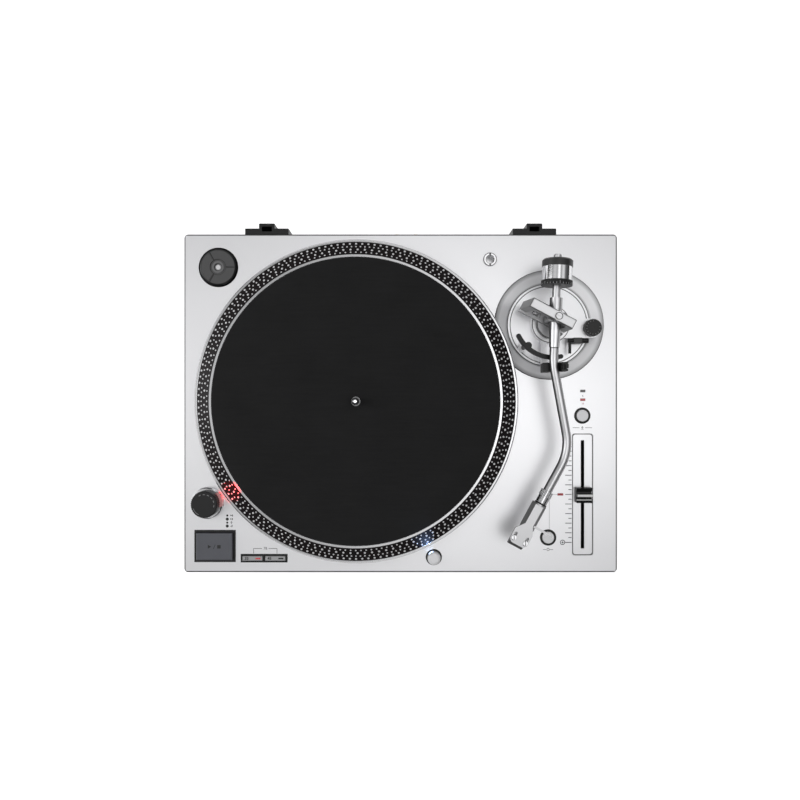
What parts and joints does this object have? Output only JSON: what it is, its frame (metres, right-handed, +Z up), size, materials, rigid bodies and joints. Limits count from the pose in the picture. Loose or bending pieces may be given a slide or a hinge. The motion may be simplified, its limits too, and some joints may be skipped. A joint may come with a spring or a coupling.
{
  "type": "turntable record player",
  "caption": "Silver direct-drive record player with a strobe-dotted platter, felt slipmat, S-shaped tonearm on a gimbal, pitch fader and lidless rear hinge sockets",
  "frame": {"origin": "on the table under the middle of the whole object, between the undersides of the feet", "axes": "+X to the right along the front edge, +Y from the controls at the front to the connectors at the rear, +Z up"},
  "size_m": [0.452, 0.3648, 0.1449],
  "materials": {
    "deck_silver": "satin",
    "tray_black": "matte",
    "foot_black": "matte",
    "trim_black": "satin",
    "screw_steel": "satin",
    "chrome": "polished",
    "arm_silver": "satin",
    "gilt": "polished",
    "board_green": "satin",
    "platter_cast": "satin",
    "mat_felt": "matte",
    "magnet_dark": "matte",
    "core_iron": "satin",
    "coil_copper": "satin",
    "lens_red": "gloss",
    "knob_grey": "satin",
    "lever_black": "satin",
    "button_grey": "satin",
    "button_light": "satin",
    "lamp_white": "gloss",
    "led_dark": "gloss",
    "panel_silver": "satin",
    "stylus_white": "satin"
  },
  "bodies": {
    "chassis": {"plinth_shell": "deck_silver", "base_tray": "tray_black", "tray_screws": "screw_steel", "circuit_boards": "board_green", "hinge_sockets": "trim_black", "rear_panel": "trim_black", "rca_jacks": "gilt", "ground_post": "gilt", "usb_socket": "screw_steel", "dc_inlet": "trim_black", "motor_base": "platter_cast", "bearing_sleeve": "gilt", "stator_core": "core_iron", "stator_coils": "coil_copper", "strobe_housing": "chrome", "strobe_lens": "lens_red", "start_stop_bezel": "trim_black", "speed_bezel": "trim_black", "control_bezels": "trim_black", "range_leds": "led_dark", "fader_panel": "panel_silver", "fader_unit": "trim_black", "headshell_store": "chrome", "arm_base_ring": "arm_silver", "arm_base_plate": "arm_silver", "arm_pillar": "arm_silver", "gimbal_frame": "arm_silver", "pivot_screw": "screw_steel", "arm_rest": "trim_black"},
    "turntable": {"platter": "platter_cast", "slipmat": "mat_felt", "rotor_magnet": "magnet_dark", "spindle": "chrome"},
    "adapter": {"adapter_45": "knob_grey"},
    "power": {"power_knob": "knob_grey"},
    "start_stop": {"start_stop_button": "button_grey"},
    "speed_33": {"speed_button_33": "button_light"},
    "speed_45": {"speed_button_45": "button_light"},
    "tempo": {"tempo_button": "button_light"},
    "quartz": {"quartz_button": "button_light"},
    "fader": {"pitch_fader": "trim_black"},
    "lamp": {"target_lamp": "lamp_white"},
    "yaw": {"yaw_carrier": "arm_silver"},
    "arm": {"arm_tube": "arm_silver", "headshell": "arm_silver", "cartridge": "trim_black", "stylus": "stylus_white"},
    "collar": {"lock_collar": "chrome"},
    "dial": {"weight_dial": "trim_black"},
    "weight": {"counterweight": "chrome"},
    "lift": {"lift_bar": "trim_black"},
    "cue": {"cue_lever": "lever_black"},
    "skate": {"antiskate_knob": "trim_black"},
    "clip": {"rest_clip": "trim_black"},
    "foot_fl": {"foot_front_left": "foot_black"},
    "foot_fr": {"foot_front_right": "foot_black"},
    "foot_rl": {"foot_rear_left": "foot_black"},
    "foot_rr": {"foot_rear_right": "foot_black"},
    "gain": {"gain_switch": "trim_black"},
    "nut": {"ground_nut": "gilt"}
  },
  "joints": [
    {"name": "platter_spin", "type": "hinge", "parent": "chassis", "child": "turntable", "pos_m": [-0.0455, -0.00375, 0.1], "axis": [0, 0, -1], "continuous": true},
    {"name": "adapter_lift", "type": "slide", "parent": "chassis", "child": "adapter", "axis": [0, 0, 1], "range_m": [0, 0.04]},
    {"name": "power_turn", "type": "hinge", "parent": "chassis", "child": "power", "pos_m": [-0.2002, -0.109, 0.095], "axis": [0, 0, 1], "range_deg": [0, 60]},
    {"name": "start_stop_press", "type": "slide", "parent": "chassis", "child": "start_stop", "axis": [0, 0, -1], "range_m": [0, 0.002], "stiffness_N_per_m": 400, "springref_m": -0.002},
    {"name": "speed_33_press", "type": "slide", "parent": "chassis", "child": "speed_33", "axis": [0, 0, -1], "range_m": [0, 0.001], "stiffness_N_per_m": 300, "springref_m": -0.002},
    {"name": "speed_45_press", "type": "slide", "parent": "chassis", "child": "speed_45", "axis": [0, 0, -1], "range_m": [0, 0.001], "stiffness_N_per_m": 300, "springref_m": -0.002},
    {"name": "tempo_press", "type": "slide", "parent": "chassis", "child": "tempo", "axis": [0, 0, -1], "range_m": [0, 0.0012], "stiffness_N_per_m": 300, "springref_m": -0.002},
    {"name": "quartz_press", "type": "slide", "parent": "chassis", "child": "quartz", "axis": [0, 0, -1], "range_m": [0, 0.0012], "stiffness_N_per_m": 300, "springref_m": -0.002},
    {"name": "pitch_slide", "type": "slide", "parent": "chassis", "child": "fader", "axis": [0, 1, 0], "range_m": [-0.05, 0.05]},
    {"name": "lamp_pop", "type": "slide", "parent": "chassis", "child": "lamp", "axis": [0, 0, -1], "range_m": [0, 0.008], "stiffness_N_per_m": 150, "springref_m": -0.002},
    {"name": "arm_yaw", "type": "hinge", "parent": "chassis", "child": "yaw", "pos_m": [0.1519, 0.0782, 0.126], "axis": [0, 0, -1], "range_deg": [0, 46]},
    {"name": "arm_pitch", "type": "hinge", "parent": "yaw", "child": "arm", "pos_m": [0.1519, 0.0782, 0.126], "axis": [-0.9992, 0.0401, 0], "range_deg": [-0.8, 10]},
    {"name": "weight_slide", "type": "slide", "parent": "arm", "child": "dial", "axis": [0.0401, 0.9992, 0], "range_m": [-0.0061, 0.0081]},
    {"name": "weight_turn", "type": "hinge", "parent": "dial", "child": "weight", "pos_m": [0.1519, 0.0782, 0.126], "axis": [0.0401, 0.9992, 0], "range_deg": [-360, 480]},
    {"name": "collar_turn", "type": "hinge", "parent": "arm", "child": "collar", "pos_m": [0.14405, -0.09172, 0.126], "axis": [-0.4772, -0.8788, 0], "range_deg": [0, 60]},
    {"name": "cue_turn", "type": "hinge", "parent": "chassis", "child": "cue", "pos_m": [0.182, 0.0587, 0.092], "axis": [-1, 0, 0], "range_deg": [0, 75]},
    {"name": "lift_rise", "type": "slide", "parent": "chassis", "child": "lift", "axis": [0, 0, 1], "range_m": [0, 0.00501]},
    {"name": "antiskate_turn", "type": "hinge", "parent": "chassis", "child": "skate", "pos_m": [0.1966, 0.0716, 0.095], "axis": [0, 0, -1], "range_deg": [0, 300]},
    {"name": "rest_clip_turn", "type": "hinge", "parent": "chassis", "child": "clip", "pos_m": [0.1595, 0.0301, 0.1324], "axis": [0, -1, 0], "range_deg": [0, 90]},
    {"name": "foot_front_left_height", "type": "slide", "parent": "chassis", "child": "foot_fl", "axis": [0, 0, -1], "range_m": [0, 0.006]},
    {"name": "foot_front_right_height", "type": "slide", "parent": "chassis", "child": "foot_fr", "axis": [0, 0, -1], "range_m": [0, 0.006]},
    {"name": "foot_rear_left_height", "type": "slide", "parent": "chassis", "child": "foot_rl", "axis": [0, 0, -1], "range_m": [0, 0.006]},
    {"name": "foot_rear_right_height", "type": "slide", "parent": "chassis", "child": "foot_rr", "axis": [0, 0, -1], "range_m": [0, 0.006]},
    {"name": "gain_slide", "type": "slide", "parent": "chassis", "child": "gain", "axis": [-1, 0, 0], "range_m": [0, 0.003]},
    {"name": "ground_nut_turn", "type": "hinge", "parent": "chassis", "child": "nut", "pos_m": [0.04, 0.1694, 0.06225], "axis": [0, 1, 0], "continuous": true}
  ],
  "couplings": [
    {"joint": "weight_slide", "follows": "weight_turn", "m_per_rad": 0.00095493},
    {"joint": "lift_rise", "follows": "cue_turn", "m_per_rad": 0.0038197}
  ]
}
